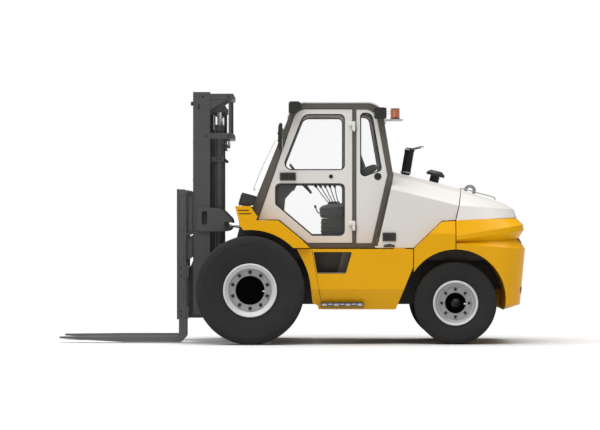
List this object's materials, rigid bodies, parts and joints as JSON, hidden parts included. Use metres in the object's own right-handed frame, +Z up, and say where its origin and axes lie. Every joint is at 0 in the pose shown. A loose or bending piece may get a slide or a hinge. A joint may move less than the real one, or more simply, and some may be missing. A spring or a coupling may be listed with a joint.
{
  "type": "rough-terrain forklift truck",
  "caption": "Rough-terrain forklift truck with closed cab, tilting two-stage mast, load backrest and forks, gull-wing engine hood, cast counterweight and steered rear axle.",
  "frame": {"origin": "centre of the bounding box on the ground under the wheels", "axes": "+X forward to the fork tips, +Y to the driver's left, +Z up"},
  "size_m": [4.853, 2.0386, 2.6179],
  "materials": {
    "chassis_dark": "satin",
    "body_yellow": "gloss",
    "panel_white": "gloss",
    "cab_grey": "satin",
    "mast_grey": "satin",
    "tyre": "matte",
    "rim_silver": "satin",
    "clear_glass": "clear",
    "chrome": "polished",
    "black_plastic": "matte",
    "seat_fabric": "woven",
    "fork_steel": "satin",
    "cast_grey": "rough",
    "amber": "gloss",
    "step_metal": "brushed",
    "stack_metal": "satin"
  },
  "bodies": {
    "truck": {"chassis_frame": "chassis_dark", "drive_axle": "chassis_dark", "steer_axle": "chassis_dark", "side_tanks": "body_yellow", "boarding_steps": "step_metal", "front_fenders": "body_yellow", "rear_fenders": "body_yellow", "counterweight": "body_yellow", "rear_cowl": "panel_white", "hood_spine": "panel_white", "engine_block": "cast_grey", "exhaust_stack": "stack_metal", "air_precleaner": "black_plastic", "lifting_eye": "rim_silver", "cab_frame": "cab_grey", "cab_roof": "panel_white", "cab_floor": "cab_grey", "cab_quarter_panels": "panel_white", "cab_glass": "clear_glass", "seat_base": "black_plastic", "seat_cushion": "seat_fabric", "seat_backrest": "seat_fabric", "dashboard": "black_plastic", "steering_wheel": "black_plastic", "control_levers": "black_plastic", "mirrors": "black_plastic", "lamps": "black_plastic", "beacon": "amber"},
    "wheel_front_left": {"tyre_front_left": "tyre", "rim_front_left": "rim_silver"},
    "wheel_front_right": {"tyre_front_right": "tyre", "rim_front_right": "rim_silver"},
    "wheel_rear_left": {"tyre_rear_left": "tyre", "rim_rear_left": "rim_silver"},
    "wheel_rear_right": {"tyre_rear_right": "tyre", "rim_rear_right": "rim_silver"},
    "steering_knuckle_left": {"knuckle_left": "chassis_dark"},
    "cab_door_left": {"door_left": "panel_white", "door_glass_left": "clear_glass"},
    "hood_door_left": {"hood_left": "panel_white"},
    "steering_knuckle_right": {"knuckle_right": "chassis_dark"},
    "cab_door_right": {"door_right": "panel_white", "door_glass_right": "clear_glass"},
    "hood_door_right": {"hood_right": "panel_white"},
    "mast": {"outer_mast": "mast_grey", "lift_cylinders": "mast_grey"},
    "mast_slider": {"inner_mast": "mast_grey", "lift_rods": "chrome"},
    "carriage": {"fork_carriage": "mast_grey", "load_backrest": "mast_grey", "forks": "fork_steel"},
    "tilt_barrel_pair": {"tilt_barrels": "mast_grey"},
    "tilt_rod_pair": {"tilt_rods": "chrome"}
  },
  "joints": [
    {"name": "wheel_front_left_spin", "type": "hinge", "parent": "truck", "child": "wheel_front_left", "pos_m": [0.4255, 0.865, 0.561], "axis": [0, 1, 0], "continuous": true},
    {"name": "wheel_front_right_spin", "type": "hinge", "parent": "truck", "child": "wheel_front_right", "pos_m": [0.4255, -0.865, 0.561], "axis": [0, 1, 0], "continuous": true},
    {"name": "steering_left", "type": "hinge", "parent": "truck", "child": "steering_knuckle_left", "pos_m": [-1.6945, 0.6, 0.427], "axis": [0, 0, 1], "range_deg": [-48, 48]},
    {"name": "steering_right", "type": "hinge", "parent": "truck", "child": "steering_knuckle_right", "pos_m": [-1.6945, -0.6, 0.427], "axis": [0, 0, 1], "range_deg": [-48, 48]},
    {"name": "wheel_rear_left_spin", "type": "hinge", "parent": "steering_knuckle_left", "child": "wheel_rear_left", "pos_m": [-1.6945, 0.752, 0.427], "axis": [0, 1, 0], "continuous": true},
    {"name": "wheel_rear_right_spin", "type": "hinge", "parent": "steering_knuckle_right", "child": "wheel_rear_right", "pos_m": [-1.6945, -0.752, 0.427], "axis": [0, 1, 0], "continuous": true},
    {"name": "cab_door_left_hinge", "type": "hinge", "parent": "truck", "child": "cab_door_left", "pos_m": [-0.6465, 0.748, 1.74], "axis": [0, 0, 1], "range_deg": [0, 80]},
    {"name": "cab_door_right_hinge", "type": "hinge", "parent": "truck", "child": "cab_door_right", "pos_m": [-0.6465, -0.748, 1.74], "axis": [0, 0, -1], "range_deg": [0, 80]},
    {"name": "hood_door_left_hinge", "type": "hinge", "parent": "truck", "child": "hood_door_left", "pos_m": [-1.3745, 0.475, 1.6723], "axis": [0.9698, 0, 0.2439], "range_deg": [0, 55]},
    {"name": "hood_door_right_hinge", "type": "hinge", "parent": "truck", "child": "hood_door_right", "pos_m": [-1.3745, -0.475, 1.6723], "axis": [-0.9698, 0, -0.2439], "range_deg": [0, 55]},
    {"name": "mast_tilt", "type": "hinge", "parent": "truck", "child": "mast", "pos_m": [0.6415, 0, 0.47], "axis": [0, 1, 0], "range_deg": [-10, 6]},
    {"name": "mast_lift", "type": "slide", "parent": "mast", "child": "mast_slider", "axis": [0, 0, 1], "range_m": [0, 1.5]},
    {"name": "carriage_lift", "type": "slide", "parent": "mast_slider", "child": "carriage", "axis": [0, 0, 1], "range_m": [0, 1.5]},
    {"name": "tilt_barrel_swing", "type": "hinge", "parent": "truck", "child": "tilt_barrel_pair", "pos_m": [-0.0245, 0, 1.125], "axis": [0, 1, 0], "range_deg": [-3, 2]},
    {"name": "tilt_rod_slide", "type": "slide", "parent": "tilt_barrel_pair", "child": "tilt_rod_pair", "axis": [0.9863, 0, 0.1651], "range_m": [-0.14, 0.09]}
  ],
  "couplings": [
    {"joint": "steering_right", "follows": "steering_left", "ratio": 1},
    {"joint": "carriage_lift", "follows": "mast_lift", "ratio": 1},
    {"joint": "tilt_barrel_swing", "follows": "mast_tilt", "ratio": 0.21},
    {"joint": "tilt_rod_slide", "follows": "mast_tilt", "m_per_rad": 0.76}
  ]
}
